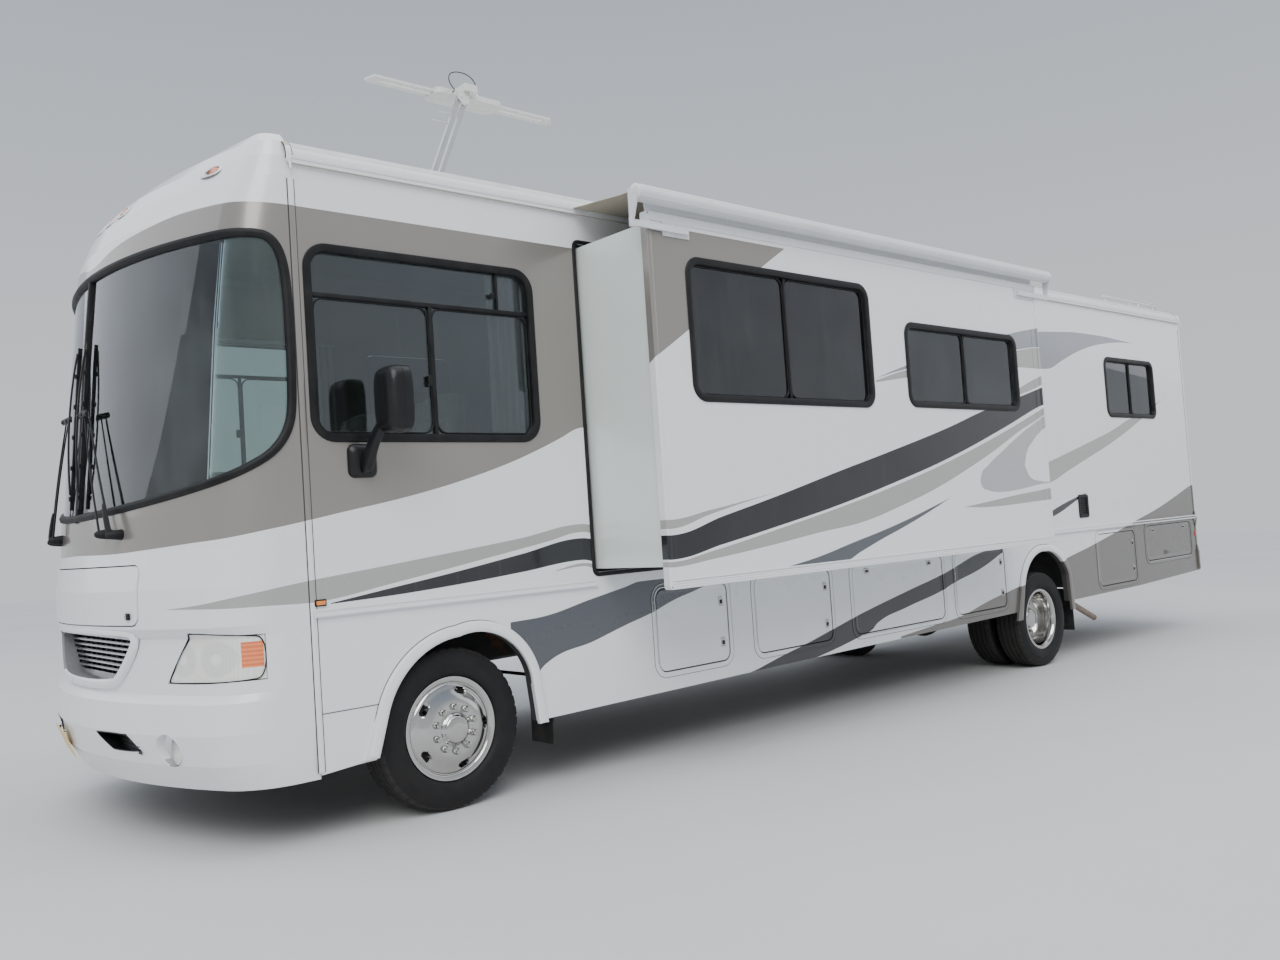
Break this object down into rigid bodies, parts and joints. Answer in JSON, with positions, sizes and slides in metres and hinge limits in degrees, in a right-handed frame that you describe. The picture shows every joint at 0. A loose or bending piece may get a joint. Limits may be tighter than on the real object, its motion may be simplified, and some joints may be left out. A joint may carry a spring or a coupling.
{
  "type": "motorhome",
  "caption": "Front-engined motorhome with a slide-out room, topper awning, raised roof antenna, steerable axle, opening doors, hood and luggage hatches.",
  "frame": {"origin": "ground level under the middle of the overall box", "axes": "front towards -Y, driver's side towards +X, up +Z"},
  "size_m": [3.55, 11.1018, 4.1698],
  "materials": {
    "aluminium": "brushed",
    "awning_fabric": "woven acrylic",
    "black_plastic": "moulded",
    "cast_iron": "dusty cast iron",
    "chassis_black": "semi-gloss black",
    "chrome": "polished liners",
    "galvanised": "galvanised sheet",
    "glass": "tinted",
    "interior_plastic": "grained",
    "lamp_lens": "clear and amber lenses",
    "plate_yellow": "blank plate",
    "plywood": "laminated floor",
    "rubber": "moulded",
    "seat_fabric": "woven",
    "tyre": "worn rubber",
    "white_gelcoat": "gloss white gelcoat",
    "white_paint": "satin white sidewall",
    "white_plastic": "moulded shroud"
  },
  "bodies": {
    "motorhome": {"chassis_frame": "chassis_black", "engine_block": "cast_iron", "front_axle": "cast_iron", "rear_axle": "cast_iron", "exhaust_pipe": "galvanised", "compartment_boxes": "galvanised", "floor": "plywood", "left_wall": "white_paint", "right_wall": "white_paint", "left_skirt": "white_paint", "right_skirt": "white_paint", "roof": "white_gelcoat", "rear_cap": "white_gelcoat", "front_cap": "white_gelcoat", "windshield": "glass", "windows": "glass", "lamps": "lamp_lens", "grille": "chrome", "licence_plates": "plate_yellow", "wipers": "black_plastic", "mirrors": "black_plastic", "dashboard": "interior_plastic", "cab_seats": "seat_fabric", "mud_flaps": "rubber", "roof_equipment": "white_plastic", "rear_ladder": "aluminium", "patio_awning": "white_plastic", "topper_fabric": "awning_fabric"},
    "slide_room": {"slide_room": "white_paint", "slide_windows": "glass", "topper_arms": "aluminium"},
    "topper_tube": {"topper_tube": "aluminium"},
    "left_knuckle": {"left_knuckle": "cast_iron"},
    "right_knuckle": {"right_knuckle": "cast_iron"},
    "tie_rod": {"tie_rod": "cast_iron"},
    "steering_wheel": {"steering_wheel": "black_plastic"},
    "front_left_wheel": {"front_left_tyre": "tyre", "front_left_wheel": "chrome"},
    "front_right_wheel": {"front_right_tyre": "tyre", "front_right_wheel": "chrome"},
    "rear_left_wheels": {"rear_left_tyres": "tyre", "rear_left_wheels": "chrome"},
    "rear_right_wheels": {"rear_right_tyres": "tyre", "rear_right_wheels": "chrome"},
    "entry_door": {"entry_door": "white_paint"},
    "entry_step": {"entry_step": "aluminium"},
    "hood_door": {"hood_door": "white_gelcoat"},
    "compartment_door_1": {"compartment_door_1": "white_paint"},
    "compartment_door_2": {"compartment_door_2": "white_paint"},
    "compartment_door_3": {"compartment_door_3": "white_paint"},
    "compartment_door_4": {"compartment_door_4": "white_paint"},
    "compartment_door_5": {"compartment_door_5": "white_paint"},
    "compartment_door_6": {"compartment_door_6": "white_paint"},
    "right_compartment_door_1": {"right_compartment_door_1": "white_paint"},
    "right_compartment_door_2": {"right_compartment_door_2": "white_paint"},
    "antenna_mast": {"antenna_mast": "aluminium"},
    "antenna_link": {"antenna_link": "aluminium"},
    "antenna_head": {"antenna_head": "white_plastic", "antenna_cable": "black_plastic"}
  },
  "joints": [
    {"name": "slide_out", "type": "slide", "parent": "motorhome", "child": "slide_room", "axis": [1, 0, 0], "range_m": [-0.545, 0], "deforming": ["topper_fabric"]},
    {"name": "topper_roll", "type": "hinge", "parent": "slide_room", "child": "topper_tube", "pos_m": [1.73, -1.14141, 3.17896], "axis": [0, 0.9999, 0.0151], "range_deg": [-5, 700]},
    {"name": "steer_left", "type": "hinge", "parent": "motorhome", "child": "left_knuckle", "pos_m": [0.705, -4.1, 0.412], "axis": [0, -0.0151, 0.9999], "range_deg": [-35, 35]},
    {"name": "steer_right", "type": "hinge", "parent": "motorhome", "child": "right_knuckle", "pos_m": [-1.075, -4.1, 0.412], "axis": [0, -0.0151, 0.9999], "range_deg": [-35, 35]},
    {"name": "tie_rod_pivot", "type": "hinge", "parent": "left_knuckle", "child": "tie_rod", "pos_m": [0.705, -3.88845, 0.31118], "axis": [0, -0.0151, 0.9999], "range_deg": [-35, 35]},
    {"name": "steering_wheel_turn", "type": "hinge", "parent": "motorhome", "child": "steering_wheel", "pos_m": [0.295, -4.60696, 1.53248], "axis": [0, 0.8568, 0.5156], "range_deg": [-570, 570]},
    {"name": "front_left_spin", "type": "hinge", "parent": "left_knuckle", "child": "front_left_wheel", "pos_m": [0.927, -4.1, 0.412], "axis": [1, 0, 0], "continuous": true},
    {"name": "front_right_spin", "type": "hinge", "parent": "right_knuckle", "child": "front_right_wheel", "pos_m": [-1.297, -4.1, 0.412], "axis": [1, 0, 0], "continuous": true},
    {"name": "rear_left_spin", "type": "hinge", "parent": "motorhome", "child": "rear_left_wheels", "pos_m": [0.794, 1.93169, 0.41201], "axis": [1, 0, 0], "continuous": true},
    {"name": "rear_right_spin", "type": "hinge", "parent": "motorhome", "child": "rear_right_wheels", "pos_m": [-1.164, 1.93169, 0.41201], "axis": [1, 0, 0], "continuous": true},
    {"name": "entry_door_hinge", "type": "hinge", "parent": "motorhome", "child": "entry_door", "pos_m": [-1.455, -3.17778, 1.79607], "axis": [0, -0.0151, 0.9999], "range_deg": [0, 100]},
    {"name": "entry_step_slide", "type": "slide", "parent": "motorhome", "child": "entry_step", "axis": [-1, 0, 0], "range_m": [0, 0.26]},
    {"name": "hood_hinge", "type": "hinge", "parent": "motorhome", "child": "hood_door", "pos_m": [-0.185, -5.53811, 1.33641], "axis": [-1, 0, 0], "range_deg": [0, 80]},
    {"name": "compartment_door_1_hinge", "type": "hinge", "parent": "motorhome", "child": "compartment_door_1", "pos_m": [1.085, -2.69618, 0.76572], "axis": [0, 0.0151, -0.9999], "range_deg": [0, 100]},
    {"name": "compartment_door_2_hinge", "type": "hinge", "parent": "motorhome", "child": "compartment_door_2", "pos_m": [1.085, -1.82428, 0.77888], "axis": [0, 0.0151, -0.9999], "range_deg": [0, 100]},
    {"name": "compartment_door_3_hinge", "type": "hinge", "parent": "motorhome", "child": "compartment_door_3", "pos_m": [1.085, -0.21426, 0.55765], "axis": [0, 0.9999, 0.0151], "range_deg": [0, 100]},
    {"name": "compartment_door_4_hinge", "type": "hinge", "parent": "motorhome", "child": "compartment_door_4", "pos_m": [1.085, 0.54345, 0.81461], "axis": [0, 0.0151, -0.9999], "range_deg": [0, 100]},
    {"name": "compartment_door_5_hinge", "type": "hinge", "parent": "motorhome", "child": "compartment_door_5", "pos_m": [1.085, 3.00102, 0.8617], "axis": [0, 0.0151, -0.9999], "range_deg": [0, 100]},
    {"name": "compartment_door_6_hinge", "type": "hinge", "parent": "motorhome", "child": "compartment_door_6", "pos_m": [1.085, 4.62755, 0.80573], "axis": [0, 0.9999, 0.0151], "range_deg": [0, 100]},
    {"name": "right_compartment_door_1_hinge", "type": "hinge", "parent": "motorhome", "child": "right_compartment_door_1", "pos_m": [-1.455, -1.82428, 0.77888], "axis": [0, -0.0151, 0.9999], "range_deg": [0, 100]},
    {"name": "right_compartment_door_2_hinge", "type": "hinge", "parent": "motorhome", "child": "right_compartment_door_2", "pos_m": [-1.455, 3.00102, 0.8617], "axis": [0, -0.0151, 0.9999], "range_deg": [0, 100]},
    {"name": "antenna_mast_pivot", "type": "hinge", "parent": "motorhome", "child": "antenna_mast", "pos_m": [0.515, -3.76969, 3.44233], "axis": [-1, 0, 0], "range_deg": [0, 62]},
    {"name": "antenna_link_pivot", "type": "hinge", "parent": "motorhome", "child": "antenna_link", "pos_m": [0.515, -3.73713, 3.40582], "axis": [-1, 0, 0], "range_deg": [0, 62]},
    {"name": "antenna_head_pivot", "type": "hinge", "parent": "antenna_mast", "child": "antenna_head", "pos_m": [0.515, -3.53833, 4.01107], "axis": [-1, 0, 0], "range_deg": [-62, 0]}
  ],
  "couplings": [
    {"joint": "topper_roll", "follows": "slide_out", "rad_per_m": -21.5},
    {"joint": "steer_right", "follows": "steer_left", "ratio": 1},
    {"joint": "tie_rod_pivot", "follows": "steer_left", "ratio": -1},
    {"joint": "steering_wheel_turn", "follows": "steer_left", "ratio": 16},
    {"joint": "antenna_link_pivot", "follows": "antenna_mast_pivot", "ratio": 1},
    {"joint": "antenna_head_pivot", "follows": "antenna_mast_pivot", "ratio": -1}
  ]
}
